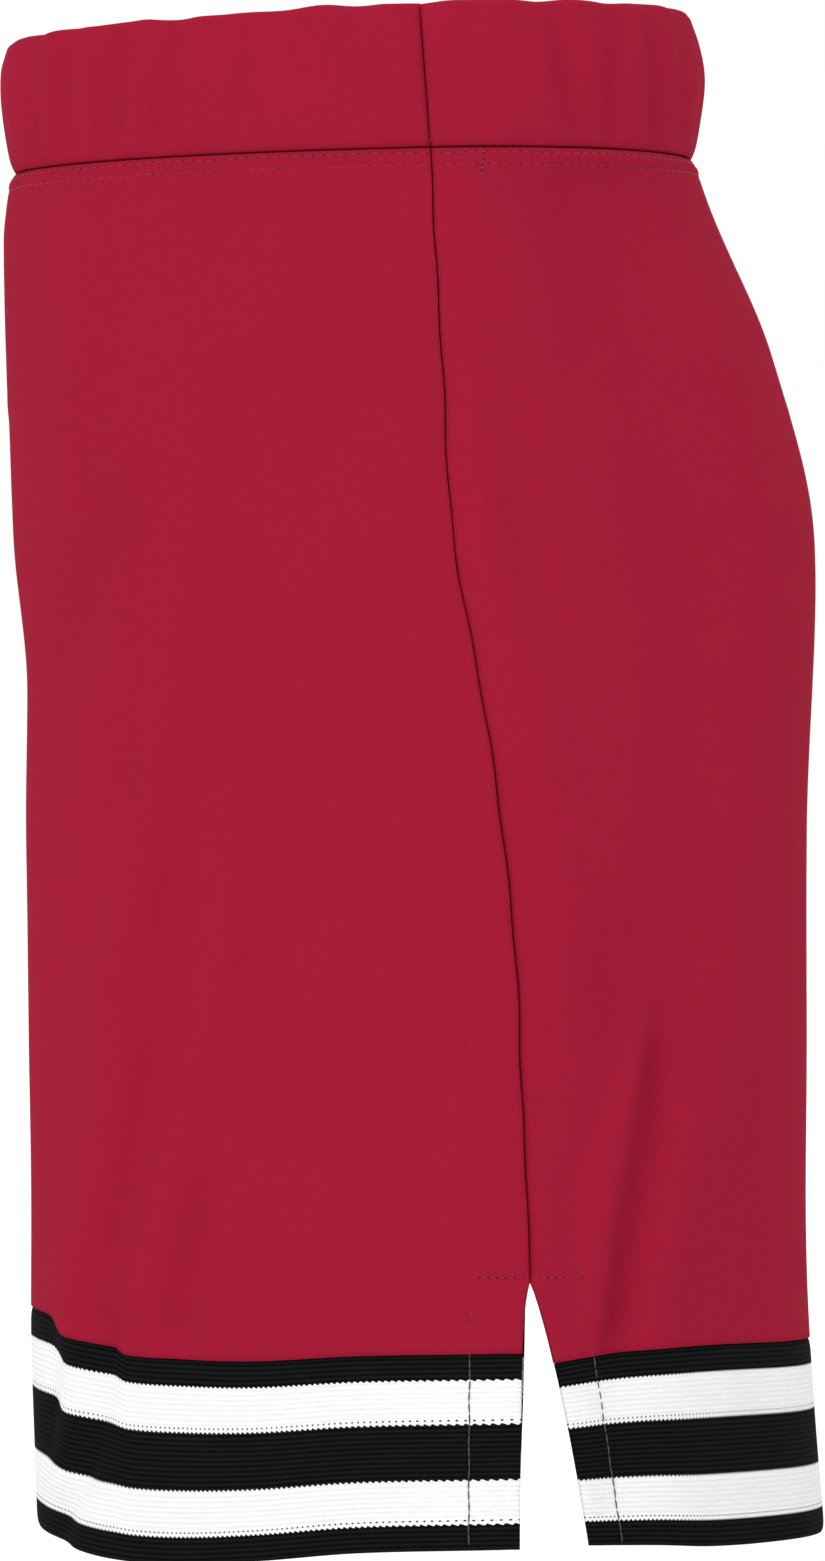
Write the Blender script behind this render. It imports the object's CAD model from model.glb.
import math
import bpy
import numpy as np
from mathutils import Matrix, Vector


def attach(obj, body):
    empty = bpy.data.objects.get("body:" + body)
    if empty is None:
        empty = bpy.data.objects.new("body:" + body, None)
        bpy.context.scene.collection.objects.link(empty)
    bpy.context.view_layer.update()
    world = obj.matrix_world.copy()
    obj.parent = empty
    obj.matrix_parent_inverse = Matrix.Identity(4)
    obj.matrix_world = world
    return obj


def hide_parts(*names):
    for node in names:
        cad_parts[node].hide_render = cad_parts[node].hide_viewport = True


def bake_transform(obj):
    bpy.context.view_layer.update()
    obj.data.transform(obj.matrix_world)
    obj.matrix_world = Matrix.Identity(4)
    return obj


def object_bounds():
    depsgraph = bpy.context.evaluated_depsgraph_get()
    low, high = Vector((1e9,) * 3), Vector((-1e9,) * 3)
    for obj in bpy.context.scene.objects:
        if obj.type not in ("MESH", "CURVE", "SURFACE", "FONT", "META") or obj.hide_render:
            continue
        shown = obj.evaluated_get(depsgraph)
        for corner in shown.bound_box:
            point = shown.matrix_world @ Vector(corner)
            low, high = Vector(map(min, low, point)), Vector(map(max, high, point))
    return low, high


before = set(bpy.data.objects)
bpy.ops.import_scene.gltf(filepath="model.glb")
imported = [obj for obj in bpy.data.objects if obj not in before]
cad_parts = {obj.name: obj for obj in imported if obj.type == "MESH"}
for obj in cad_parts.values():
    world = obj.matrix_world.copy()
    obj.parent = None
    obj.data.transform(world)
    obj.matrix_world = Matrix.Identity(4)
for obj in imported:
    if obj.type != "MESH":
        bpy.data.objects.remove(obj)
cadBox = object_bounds()
mm = 0.001
front, back = -1, 1
farAway = 999.0
onMiddle = 1 - 1e-9  # past this, a turn is on the middle line
print("frame loaded")

# The cut of the pants in millimetres. A drop is a distance below the waist edge, x runs to the back.
cut = {
    "bandHeight": 40, "riseStart": 105, "seat": 146, "crotch": 185, "thigh": 232,
    "cuffTop": 373, "ventTop": 353, "hem": 428, "waistTilt": 8, "seamTilt": 4,
    "waistFront": 115, "waistBack": 81, "hipFront": 116, "seatBack": 115,
    "thighFront": 110, "thighBack": 112.5, "hemFront": 106, "hemBack": 117,
    "waistHalf": 78, "hipHalf": 90, "hemHalf": 104, "hemFold": 22, "legGap": 7,
    "sideAtWaist": 5, "sideAtSeat": 12.5, "sideAtThigh": 26.5, "inseamAtCrotch": 8,
    "ventCentre": 33.6, "ventOpenFront": 2.7, "ventRunIn": 0.12, "ventOpenBack": 17.5, "ventEaseBack": 0.8,
    "innerVent": 1.06, "seamGap": 0.16, "cloth": 1.5, "riseSquareness": 2.3, "foldEase": 1.1,
    "innerSquareness": 5, "legGapRunIn": 25,
}
ventSpread = {"left": 1.0, "right": 1.1}  # the right side vent stands a little wider


def curveThrough(points):
    drops = np.array([p[0] for p in points], float)
    values = np.array([p[1] for p in points], float)
    count = len(points)
    before = np.maximum(np.arange(count) - 1, 0)
    after = np.minimum(np.arange(count) + 1, count - 1)
    slopes = (values[after] - values[before]) / (drops[after] - drops[before])

    def at(drop):
        d = np.clip(np.asarray(drop, float), drops[0], drops[-1])
        i = np.clip(np.searchsorted(drops, d) - 1, 0, count - 2)
        span = drops[i + 1] - drops[i]
        t = (d - drops[i]) / span
        return (
            values[i] * (2 * t**3 - 3 * t**2 + 1)
            + slopes[i] * span * (t**3 - 2 * t**2 + t)
            + values[i + 1] * (3 * t**2 - 2 * t**3)
            + slopes[i + 1] * span * (t**3 - t**2)
        )

    return at


edgeLines = {
    front: curveThrough([
        (-cut["waistTilt"] / 2, 1 - cut["waistFront"]),
        (cut["bandHeight"] / 3, -cut["waistFront"] - 2.5),
        (cut["bandHeight"], -cut["waistFront"]),
        (cut["bandHeight"] + 4, -cut["waistFront"] - 0.3),
        (cut["bandHeight"] + 22, -cut["hipFront"] - 1),
        (cut["seat"], 1.5 - cut["hipFront"]),
        (cut["crotch"], -cut["thighFront"] - 0.5),
        (cut["thigh"], -cut["thighFront"]),
        (cut["cuffTop"], -cut["hemFront"] - 2),
        (cut["hem"], -cut["hemFront"]),
    ]),
    back: curveThrough([
        (-cut["waistTilt"] / 2, cut["waistBack"] - 1.5),
        (cut["bandHeight"] / 3, cut["waistBack"] + 1.4),
        (cut["bandHeight"], cut["waistBack"] + 0.5),
        ((cut["bandHeight"] + cut["seat"]) / 2, cut["seatBack"] - 12.5),
        (cut["seat"], cut["seatBack"]),
        (cut["thigh"], cut["thighBack"]),
        (cut["ventTop"], cut["thighBack"]),
        (cut["hem"], cut["hemBack"]),
    ]),
}
sideSeamCurve = curveThrough([
    (0, cut["sideAtWaist"] - 2),
    (cut["bandHeight"], cut["sideAtWaist"] + 1),
    (cut["seat"], cut["sideAtSeat"]),
    (cut["thigh"], cut["sideAtThigh"]),
    (cut["ventTop"], cut["ventCentre"]),
    (cut["hem"], cut["ventCentre"]),
])


def sideLine(drop):
    onBody = np.clip((drop - 44) / 20, 0, 1) * np.clip((345 - drop) / 30, 0, 1)
    return sideSeamCurve(drop) + onBody * (0.3 * np.sin(drop / 13) + 0.22 * np.sin(drop / 5.3))


inseamLine = curveThrough([
    (cut["riseStart"], cut["inseamAtCrotch"]),
    (cut["crotch"], cut["inseamAtCrotch"]),
    (cut["ventTop"], cut["ventCentre"]),
    (cut["hem"], cut["ventCentre"]),
])
halfLine = curveThrough([
    (0, cut["waistHalf"]),
    (cut["bandHeight"], cut["waistHalf"]),
    (cut["bandHeight"] + 6, cut["waistHalf"] + 0.1),
    (cut["seat"], cut["hipHalf"]),
    (cut["hem"], cut["hemHalf"]),
])
fullness = {
    front: curveThrough([(cut["bandHeight"], 2), (cut["seat"], 2.2)]),
    back: curveThrough([(cut["bandHeight"], 2), (cut["seat"], 1.4)]),
}


def waistLean(x):
    return (x - (cut["waistBack"] - cut["waistFront"]) / 2) / (cut["waistBack"] + cut["waistFront"])


def waistEdge(x):
    return -cut["waistTilt"] * waistLean(x)


def waistSeam(x):
    return cut["bandHeight"] - cut["seamTilt"] * waistLean(x)


def riseDrop(share):
    reach = cut["crotch"] - cut["riseStart"]
    square = cut["riseSquareness"]
    return cut["riseStart"] + reach * (1 - np.clip(share, 0, 1) ** square) ** (1 / square)


def foldOffset(drop):
    t = np.clip((drop - cut["riseStart"]) / (cut["hem"] - cut["riseStart"]), 0, 1)
    return cut["seamGap"] / 2 + (cut["hemFold"] - cut["seamGap"] / 2) * t ** cut["foldEase"]


# The left half's outer face before any fold. turn is 0 at the side seam, 1 at the edge, 2 at the inseam.
def bareFace(side, turn, drop):
    share = np.clip(np.sin(turn * math.pi / 2), 0, 1)
    edge = edgeLines[side](drop)
    fold = foldOffset(drop)
    bulge = np.sqrt(np.clip(1 - share ** fullness[side](drop), 0, 1))
    outerX = sideLine(drop) + (edge - sideLine(drop)) * share
    outerY = -fold - (halfLine(drop) - fold) * bulge
    below = np.maximum(drop - riseDrop(share), 0)
    legGap = (cut["legGap"] - cut["seamGap"]) / 2 * (1 - np.exp(-below / cut["legGapRunIn"]))
    gap = np.minimum(fold, cut["seamGap"] / 2 + legGap)
    tuck = 1 - np.sqrt(np.clip(1 - share ** cut["innerSquareness"], 0, 1))
    innerX = inseamLine(drop) + (edge - inseamLine(drop)) * share
    innerY = -gap - (fold - gap) * tuck
    x = np.where(turn <= 1, outerX, innerX)
    y = np.where(turn <= 1, outerY, innerY)
    return np.stack([x, y, -drop + 0 * x], -1)


def oneNormal(side, turn, drop):
    step = 0.012
    across = bareFace(side, np.minimum(turn + step, 2), drop)
    across = across - bareFace(side, np.maximum(turn - step, 0), drop)
    down = bareFace(side, turn, drop + 1) - bareFace(side, turn, drop - 1)
    normal = np.cross(across, down) * -side
    return normal / np.linalg.norm(normal, axis=-1, keepdims=True)


def faceNormal(side, turn, drop):
    normal = oneNormal(side, turn, drop)
    other = oneNormal(-side, turn, drop)
    onSeam = ((turn < 1e-6) | (turn > 2 - 1e-6))[..., None]
    normal = np.where(onSeam, normal + other, normal)
    return normal / np.linalg.norm(normal, axis=-1, keepdims=True)


# Soft folds of the hanging cloth: each runs through (x, drop) points, height in mm, width in mm.
drapeFolds = {
    front: [
        {"path": [(-52, 51), (-54, 81), (-50, 143), (-44, 192), (-41, 248), (-40, 300)],
         "height": -1.3, "width": 8},
        {"path": [(-64, 172), (-69, 206), (-75, 240), (-81, 270), (-82, 298), (-87, 326), (-93, 350),
                  (-98, 372)],
         "height": 2.2, "width": 6},
        {"path": [(-50, 246), (-54, 279), (-60, 306), (-66, 331), (-73, 356), (-77, 380)],
         "height": 2.3, "width": 6},
        {"path": [(-66, 250), (-69, 279), (-74, 306), (-80, 336), (-86, 362)], "height": -1.7, "width": 5},
        {"path": [(-56, 330), (-60, 350), (-64, 372)], "height": -1.4, "width": 5},
        {"path": [(-48, 335), (-52, 356), (-55, 376)], "height": 1.5, "width": 5},
        {"path": [(3, 304), (1, 326), (-2, 344)], "height": -1.3, "width": 9},
        {"path": [(-82, 85), (-88, 110), (-93, 128)], "height": -1.0, "width": 7},
        {"path": [(-84, 140), (-90, 165), (-97, 185)], "height": -1.0, "width": 8},
        {"path": [(-20, 150), (-14, 230), (-10, 300)], "height": 0.8, "width": 18},
    ],
    back: [
        {"path": [(16, 120), (24, 165), (33, 192), (39, 220), (43, 248), (46, 290)],
         "height": 1.7, "width": 8},
        {"path": [(56, 60), (67, 109), (77, 151), (80, 192), (78, 234), (70, 275)],
         "height": -3.4, "width": 17},
        {"path": [(66, 286), (59, 309), (54, 331), (52, 362)], "height": 2.2, "width": 5},
        {"path": [(70, 296), (65, 325), (60, 350), (57, 376)], "height": -2.6, "width": 4.5},
        {"path": [(79, 316), (72, 345), (68, 372)], "height": 1.6, "width": 6},
        {"path": [(100, 250), (98, 300), (96, 350)], "height": -1.4, "width": 7},
        {"path": [(44, 52), (46, 75), (49, 95)], "height": -0.9, "width": 6},
    ],
}
cuffFolds = {
    front: [
        {"path": [(-84, 374), (-86, 392), (-91, 409), (-98, 424), (-100, 434)], "height": -2.2, "width": 3.6},
        {"path": [(-93, 374), (-95, 392), (-99, 409)], "height": 1.4, "width": 4},
        {"path": [(-100, 366), (-100, 384), (-101, 398)], "height": -1.3, "width": 2.6},
        {"path": [(-62, 372), (-64, 392), (-66, 432)], "height": -1.2, "width": 8},
        {"path": [(-28, 372), (-28, 400), (-30, 432)], "height": 0.9, "width": 12},
    ],
    back: [
        {"path": [(57, 370), (56, 392), (57, 430)], "height": -1.3, "width": 5},
        {"path": [(72, 370), (74, 400), (76, 430)], "height": 1.2, "width": 8},
        {"path": [(98, 370), (99, 400), (101, 430)], "height": -1.2, "width": 7},
    ],
}
bandFolds = {
    front: [
        {"path": [(-97, -4), (-98, 20), (-98, 38)], "height": -1.2, "width": 3.2},
        {"path": [(-79, -4), (-83, 20), (-87, 38)], "height": -1.6, "width": 4.4},
        {"path": [(-64, -4), (-67, 20), (-70, 38)], "height": -1.2, "width": 4},
        {"path": [(-43, 2), (-45, 20), (-47, 38)], "height": -0.5, "width": 5},
        {"path": [(-107, -4), (-107, 20), (-107, 38)], "height": -0.9, "width": 2},
    ],
    back: [
        {"path": [(39, -4), (44, 18), (50, 38)], "height": -1.1, "width": 4},
        {"path": [(57, 4), (57, 20), (57, 38)], "height": -0.9, "width": 3},
        {"path": [(68, -4), (69, 20), (70, 38)], "height": -1.3, "width": 3},
        {"path": [(76, -4), (76, 20), (76, 38)], "height": -0.7, "width": 1.8},
        {"path": [(20, 4), (21, 20), (22, 38)], "height": -0.4, "width": 5},
    ],
}


def foldHeight(folds, x, drop):
    height = np.zeros_like(x, dtype=float)
    for fold in folds:
        drops = [p[1] for p in fold["path"]]
        lineX = curveThrough([(p[1], p[0]) for p in fold["path"]])(drop)
        soft = 0.22 * (drops[-1] - drops[0]) + 4
        fadeIn = np.clip((drop - drops[0] + soft) / soft, 0, 1)
        fadeOut = np.clip((drops[-1] + soft - drop) / soft, 0, 1)
        window = (fadeIn * fadeOut) ** 2 * (3 - 2 * fadeIn * fadeOut)
        height = height + fold["height"] * window * np.exp(-(((x - lineX) / fold["width"]) ** 2))
    return height


# Low, wide unevenness so that no stretch of cloth is perfectly smooth.
def unevenness(u, v, seed):
    waves = 0.35 * np.sin(u / 17 + 1.3 * seed + 0.6 * np.sin(v / 41 + seed))
    waves = waves + 0.28 * np.sin(v / 29 - u / 53 + 2.1 * seed)
    return waves + 0.18 * np.sin(u / 8.5 + v / 37 + 0.7 * seed) * np.sin(v / 19 + seed)


drape = {
    "foldStrength": 1.4, "calmFrom": 362, "calmRun": 16, "inner": 0.7, "edgeFade": 9,
    "waistGroove": 1.5, "waistReach": 1.6,
    "groove": {front: (1.2, 0.7), back: (2.8, 1.9)},  # depth and reach, each side of a seam
    "grooveAtWaist": (0.55, 0.6), "deeperFrom": 150, "deeperRun": 90, "riseGroove": (1.6, 1.3),
}


def seamDistances(side, turn, drop):
    face = bareFace(side, turn, drop)
    x = face[..., 0]
    toSide = np.where(turn <= 1, np.abs(x - sideLine(drop)), farAway)
    toInseam = np.where(turn > 1, np.abs(x - inseamLine(drop)), farAway)
    toEdge = np.hypot(face[..., 1] + foldOffset(drop), np.maximum(drop - cut["riseStart"], 0))
    belowRise = np.maximum(drop - riseDrop(np.sin(turn * math.pi / 2)), 0)
    return x, toSide, toInseam, np.where(turn <= 1, toEdge, belowRise)


# How far the finished cloth stands off the bare face: folds, and the dips at its seams.
def drapeHeight(side, turn, drop):
    x, toSide, toInseam, toRise = seamDistances(side, turn, drop)
    lower = np.clip((drop - drape["calmFrom"]) / drape["calmRun"], 0, 1)
    outer = drape["foldStrength"] * foldHeight(drapeFolds[side], x, drop) * (1 - lower)
    outer = outer + foldHeight(cuffFolds[side], x, drop) + unevenness(x * 1.3 + turn * 40, drop, side)
    seams = np.minimum(np.minimum(toSide, toInseam), np.minimum(toRise, drop - waistSeam(x)))
    calm = np.clip(seams / drape["edgeFade"], 0, 1)
    inner = drape["inner"] * unevenness(x * 1.1, drop, 3.0 + side)
    height = np.where(turn <= 1.02, outer, inner) * calm * calm * (3 - 2 * calm)
    deeper = np.clip((drop - drape["deeperFrom"]) / drape["deeperRun"], 0, 1)
    closed = np.clip((cut["ventTop"] - drop) / 3, 0, 1)
    depth, reach = (
        full * (upper + (1 - upper) * deeper)
        for full, upper in zip(drape["groove"][side], drape["grooveAtWaist"])
    )
    groove = depth * np.exp(-np.minimum(toSide, toInseam) / reach)
    riseDepth, riseReach = drape["riseGroove"]
    groove = np.maximum(groove * closed, riseDepth * np.exp(-toRise / riseReach))
    return height - groove


def clothPoint(side, turn, drop, height=0.0):
    turn = np.asarray(turn, float)
    drop = np.asarray(drop, float) + 0 * turn
    lift = drapeHeight(side, turn, drop) + height
    return bareFace(side, turn, drop) + faceNormal(side, turn, drop) * lift[..., None]


def turnAt(side, distance, drop, onInseam=False):
    start = inseamLine(drop) if onInseam else sideLine(drop)
    turn = np.arcsin(np.clip(distance / np.abs(edgeLines[side](drop) - start), 0, 1)) * 2 / math.pi
    return 2 - turn if onInseam else turn


def flapInset(side, drop, onInseam=False, spread=1.0):
    t = np.clip((drop - cut["ventTop"]) / (cut["hem"] - cut["ventTop"]), 0, 1.05)
    if side == front:
        opening = cut["ventOpenFront"] * (1 - np.exp(-t / cut["ventRunIn"]))
    else:
        opening = cut["ventOpenBack"] * t ** cut["ventEaseBack"]
    return cut["seamGap"] / 2 + opening * (cut["innerVent"] if onInseam else spread)


def insetTurn(side, turn, drop, spread=1.0):
    first = turnAt(side, flapInset(side, drop, False, spread), drop)
    last = turnAt(side, flapInset(side, drop, True), drop, True)
    return first + (last - first) * turn / 2


# Where the cuff starts and ends, in drops along x.
cuffLines = {
    front: curveThrough([
        (-110, 363.4), (-106, 364), (-101, 365.2), (-98.5, 367.8), (-96.5, 370), (-91, 371.4), (-86, 372.4),
        (-82, 373), (-78, 374.6), (-62, 375.2), (-42, 375.2), (-12, 373.2), (31, 372.2),
    ]),
    back: curveThrough([(33, 375), (46, 373.2), (60, 372), (85, 371.4), (116, 372.6)]),
}
hemLines = {
    front: curveThrough([
        (-110, 424), (-104, 426.6), (-96, 429.4), (-84, 431.4), (-66, 432), (-42, 430.2), (-12, 427.2),
        (31, 425.8),
    ]),
    back: curveThrough([(33, 425), (55, 425.6), (75, 426.8), (118, 427.2)]),
}


def lineAt(lines, side, turn, drop):
    for _ in range(3):
        drop = lines[side](bareFace(side, turn, drop)[..., 0])
    return drop


def makeMesh(name, points, faces, materials, uv=None, materialIndex=None):
    mesh = bpy.data.meshes.new(name)
    mesh.from_pydata((points * mm).tolist(), [], faces)
    for material in materials:
        mesh.materials.append(material)
    mesh.polygons.foreach_set("use_smooth", [True] * len(mesh.polygons))
    if materialIndex is not None:
        mesh.polygons.foreach_set("material_index", materialIndex)
    if uv is not None:
        layer = mesh.uv_layers.new(name="knit")
        index = np.zeros(len(mesh.loops), np.int32)
        mesh.loops.foreach_get("vertex_index", index)
        layer.data.foreach_set("uv", uv[index].astype(np.float32).ravel())
    mesh.update()
    obj = bpy.data.objects.new(name, mesh)
    bpy.context.scene.collection.objects.link(obj)
    return obj


# A closed sheet of cloth from two grids of points, with a rounded wall along every free edge.
def makeSheet(name, outer, inner, uv, material, flipped, here=None, ring=False):
    columns, rows = outer.shape[:2]
    if here is None:
        here = np.ones((columns if ring else columns - 1, rows - 1), bool)
    column, row = np.nonzero(here)
    first, second = column * rows + row, (column + 1) % columns * rows + row
    quads = np.stack([first, second, second + 1, first + 1], 1)
    if flipped:
        quads = quads[:, ::-1]
    total = columns * rows
    edges = np.concatenate([quads[:, [0, 1]], quads[:, [1, 2]], quads[:, [2, 3]], quads[:, [3, 0]]])
    keys = set(map(tuple, edges.tolist()))
    free = np.array(sorted(e for e in keys if (e[1], e[0]) not in keys))
    wall = np.stack([free[:, 1], free[:, 0], free[:, 0] + total, free[:, 1] + total], 1)
    faces = np.concatenate([quads, quads[:, ::-1] + total, wall])
    points = np.concatenate([outer.reshape(-1, 3), inner.reshape(-1, 3)])
    uvs = np.concatenate([uv.reshape(-1, 2), uv.reshape(-1, 2)])
    used = np.unique(faces)
    renumber = np.zeros(len(points), int)
    renumber[used] = np.arange(len(used))
    return makeMesh(name, points[used], renumber[faces].tolist(), [material], uvs[used])


# The uv of a grid of points, from the measure along its columns and along its rows.
def uvGrid(first, second):
    return np.stack(np.broadcast_arrays(first, second), -1)


# The length walked along a line of points, from its first one.
def lengthAlong(line):
    return np.concatenate([[0], np.cumsum(np.linalg.norm(np.diff(line, axis=0), axis=1))])


# The pattern is drawn for the left half, and the right half is its mirror image.
def onHand(points, mirror):
    return points * np.array([1, -1, 1]) if mirror else points


def settle(piece, body):
    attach(piece, body)


def nodeMaterial(name, values):
    material = bpy.data.materials.new(name)
    material.use_nodes = True
    tree = material.node_tree
    shader = next(n for n in tree.nodes if n.type == "BSDF_PRINCIPLED")
    for socket, value in values.items():
        shader.inputs[socket].default_value = value
    return material, tree, shader


def mathNode(tree, operation, *values):
    node = tree.nodes.new("ShaderNodeMath")
    node.operation = operation
    for socket, value in zip(node.inputs, values):
        if isinstance(value, (int, float)):
            socket.default_value = value
        else:
            tree.links.new(value, socket)
    return node.outputs[0]


def plus(tree, a, b):
    return mathNode(tree, "ADD", a, b)


def minus(tree, a, b):
    return mathNode(tree, "SUBTRACT", a, b)


def times(tree, a, b):
    return mathNode(tree, "MULTIPLY", a, b)


def shaded(colour, factor):
    return (*(c * factor for c in colour[:3]), 1)


# The cloth's own measures: across its columns and down its rows.
def clothMeasures(tree):
    uv = tree.nodes.new("ShaderNodeUVMap")
    uv.uv_map = "knit"
    parts = tree.nodes.new("ShaderNodeSeparateXYZ")
    tree.links.new(uv.outputs[0], parts.inputs[0])
    return parts.outputs[0], parts.outputs[1]


def groupWith(name, inputs, outputs):
    group = bpy.data.node_groups.new(name, "ShaderNodeTree")
    for title, value in inputs.items():
        socket = group.interface.new_socket(name=title, in_out="INPUT", socket_type="NodeSocketFloat")
        socket.default_value = value
    for title in outputs:
        group.interface.new_socket(name=title, in_out="OUTPUT", socket_type="NodeSocketFloat")
    start = group.nodes.new("NodeGroupInput")
    end = group.nodes.new("NodeGroupOutput")
    return group, start, end


# Knitted loops on a cloth whose uv runs in millimetres: rows of small slanted pairs.
def makeLoopGroup():
    inputs = {"Wale": 0.8, "Course": 0.65, "Slant": 0.45}
    group, start, end = groupWith("knittedLoops", inputs, ("Height", "Shade"))
    across, down = clothMeasures(group)
    wale = mathNode(group, "DIVIDE", across, start.outputs["Wale"])
    course = mathNode(group, "DIVIDE", down, start.outputs["Course"])
    away = mathNode(group, "ABSOLUTE", minus(group, mathNode(group, "FRACT", wale), 0.5))
    slanted = plus(group, course, times(group, away, times(group, start.outputs["Slant"], 2.0)))
    loop = mathNode(group, "SINE", times(group, slanted, 2 * math.pi))
    leg = mathNode(group, "SINE", times(group, away, 2 * math.pi))
    height = times(group, plus(group, times(group, loop, 0.25), 0.75), leg)
    group.links.new(height, end.inputs["Height"])
    shade = minus(group, 1.0, times(group, minus(group, 1.0, height), 0.35))
    group.links.new(shade, end.inputs["Shade"])
    return group


# A brushed surface: broad faint blotches and a fine fuzz.
def makeFuzzGroup():
    inputs = {"Blotch": 35.0, "Grain": 1500.0}
    group, start, end = groupWith("brushedFuzz", inputs, ("Blotches", "Fuzz"))
    inObject = group.nodes.new("ShaderNodeTexCoord").outputs["Object"]
    for size, detail, output in (("Blotch", 2.0, "Blotches"), ("Grain", 3.0, "Fuzz")):
        noise = group.nodes.new("ShaderNodeTexNoise")
        noise.inputs["Detail"].default_value = detail
        group.links.new(inObject, noise.inputs["Vector"])
        group.links.new(start.outputs[size], noise.inputs["Scale"])
        group.links.new(noise.outputs["Fac"], end.inputs[output])
    return group


loopGroup = makeLoopGroup()
fuzzGroup = makeFuzzGroup()


def useGroup(tree, group, values):
    node = tree.nodes.new("ShaderNodeGroup")
    node.node_tree = group
    for socket, value in values.items():
        node.inputs[socket].default_value = value
    return node


def mixColour(tree, factor, first, second):
    node = tree.nodes.new("ShaderNodeMix")
    node.data_type = "RGBA"
    for socket, value in ((node.inputs[0], factor), (node.inputs[6], first), (node.inputs[7], second)):
        if isinstance(value, (int, float, tuple)):
            socket.default_value = value
        else:
            tree.links.new(value, socket)
    return node.outputs[2]


def bumpNormal(tree, shader, heights):
    normal = None
    for height, strength, distance in heights:
        bump = tree.nodes.new("ShaderNodeBump")
        bump.inputs["Strength"].default_value = strength
        bump.inputs["Distance"].default_value = distance
        tree.links.new(height, bump.inputs["Height"])
        if normal is not None:
            tree.links.new(normal, bump.inputs["Normal"])
        normal = bump.outputs[0]
    tree.links.new(normal, shader.inputs["Normal"])


redLook = {
    "light": (0.345, 0.0103, 0.0350, 1), "dark": (0.195, 0.0053, 0.0190, 1), "wale": 0.76, "course": 0.62,
    "roughness": 0.95, "fuzz": (0.72, 0.5), "blotch": (0.92, 0.22),  # what the shade starts at, and adds
}


def makeRedKnit(name, look):
    roughness = {"Roughness": look["roughness"], "Specular IOR Level": 0.04}
    material, tree, shader = nodeMaterial(name, roughness)
    loops = useGroup(tree, loopGroup, {"Wale": look["wale"], "Course": look["course"]})
    fuzz = useGroup(tree, fuzzGroup, {"Blotch": 26.0, "Grain": 1400.0})
    tone = loops.outputs["Shade"]
    for output, (base, share) in (("Fuzz", look["fuzz"]), ("Blotches", look["blotch"])):
        tone = times(tree, tone, plus(tree, times(tree, fuzz.outputs[output], share), base))
    tree.links.new(mixColour(tree, tone, look["dark"], look["light"]), shader.inputs["Base Color"])
    bumpNormal(tree, shader, [
        (loops.outputs["Height"], 0.6, 0.0003),
        (fuzz.outputs["Fuzz"], 0.3, 0.0003),
    ])
    return material


ribLook = {
    "black": (0.0040, 0.0047, 0.0044, 1), "white": (0.93, 0.93, 0.925, 1),
    "needle": 1.45, "stretched": 1.15, "stretchReach": 34, "ridge": 1.36, "cuffHeight": 54.0,
    "stripes": [(0.13, 0.355), (0.641, 0.866)],  # top and foot of each white stripe, as shares of the cuff
    "tooth": 0.24, "toothSlant": 2.4, "dotRow": 1.1, "dotHeight": 0.42, "dotShift": 1.6, "dotSize": 0.42,
}


# Small dots of the other yarn, one course inside the foot of a white stripe.
def stripeDots(tree, look, needle, down, foot):
    away = mathNode(tree, "DIVIDE", minus(tree, down, foot - look["dotRow"]), look["dotHeight"])
    near = minus(tree, 1.0, mathNode(tree, "ABSOLUTE", away))
    dot = times(tree, mathNode(tree, "SINE", plus(tree, needle, look["dotShift"])), near)
    dot = times(tree, dot, mathNode(tree, "GREATER_THAN", near, 0.0))
    return mathNode(tree, "GREATER_THAN", dot, look["dotSize"])


# The cuff's stripes, with a tooth at every needle along each change of colour.
def makeStripedRib(name, look):
    material, tree, shader = nodeMaterial(name, {"Roughness": 0.95, "Specular IOR Level": 0.04})
    across, down = clothMeasures(tree)
    needle = times(tree, across, 2 * math.pi)
    slanted = plus(tree, needle, times(tree, down, look["toothSlant"]))
    toothed = plus(tree, down, times(tree, mathNode(tree, "SINE", slanted), look["tooth"]))
    white = 0.0
    for stripe in look["stripes"]:
        top, foot = (share * look["cuffHeight"] for share in stripe)
        below = mathNode(tree, "GREATER_THAN", toothed, top)
        above = mathNode(tree, "LESS_THAN", toothed, foot)
        white = plus(tree, white, times(tree, below, above))
        white = minus(tree, white, stripeDots(tree, look, needle, down, foot))
    ridge = mathNode(tree, "SINE", times(tree, down, 2 * math.pi / look["ridge"]))
    ridge = plus(tree, times(tree, ridge, 0.5), 0.5)
    loops = useGroup(tree, loopGroup, {"Wale": 0.5, "Course": look["ridge"] / 2, "Slant": 0.3})
    fuzz = useGroup(tree, fuzzGroup, {"Blotch": 60.0, "Grain": 1700.0})
    blackTone = times(tree, ridge, plus(tree, loops.outputs["Height"], 0.3))
    black = mixColour(tree, blackTone, shaded(look["black"], 0.5), shaded(look["black"], 2.6))
    whiteTone = plus(tree, times(tree, ridge, 0.35), times(tree, fuzz.outputs["Fuzz"], 0.9))
    whiteCloth = mixColour(tree, whiteTone, shaded(look["white"], 0.86), look["white"])
    tree.links.new(mixColour(tree, white, black, whiteCloth), shader.inputs["Base Color"])
    bumpNormal(tree, shader, [
        (ridge, 0.55, 0.0006),
        (loops.outputs["Height"], 0.5, 0.0004),
        (fuzz.outputs["Fuzz"], 0.25, 0.0003),
    ])
    return material


def makeThread(name, colour, roughness=0.6):
    material, tree, shader = nodeMaterial(name, {"Roughness": roughness, "Specular IOR Level": 0.35})
    twist = tree.nodes.new("ShaderNodeTexWave")
    twist.inputs["Scale"].default_value = 900.0
    twist.inputs["Distortion"].default_value = 1.0
    inObject = tree.nodes.new("ShaderNodeTexCoord").outputs["Object"]
    tree.links.new(inObject, twist.inputs["Vector"])
    strand = mixColour(tree, twist.outputs["Fac"], shaded(colour, 0.6), colour)
    tree.links.new(strand, shader.inputs["Base Color"])
    bumpNormal(tree, shader, [(twist.outputs["Fac"], 0.4, 0.0002)])
    return material


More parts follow.
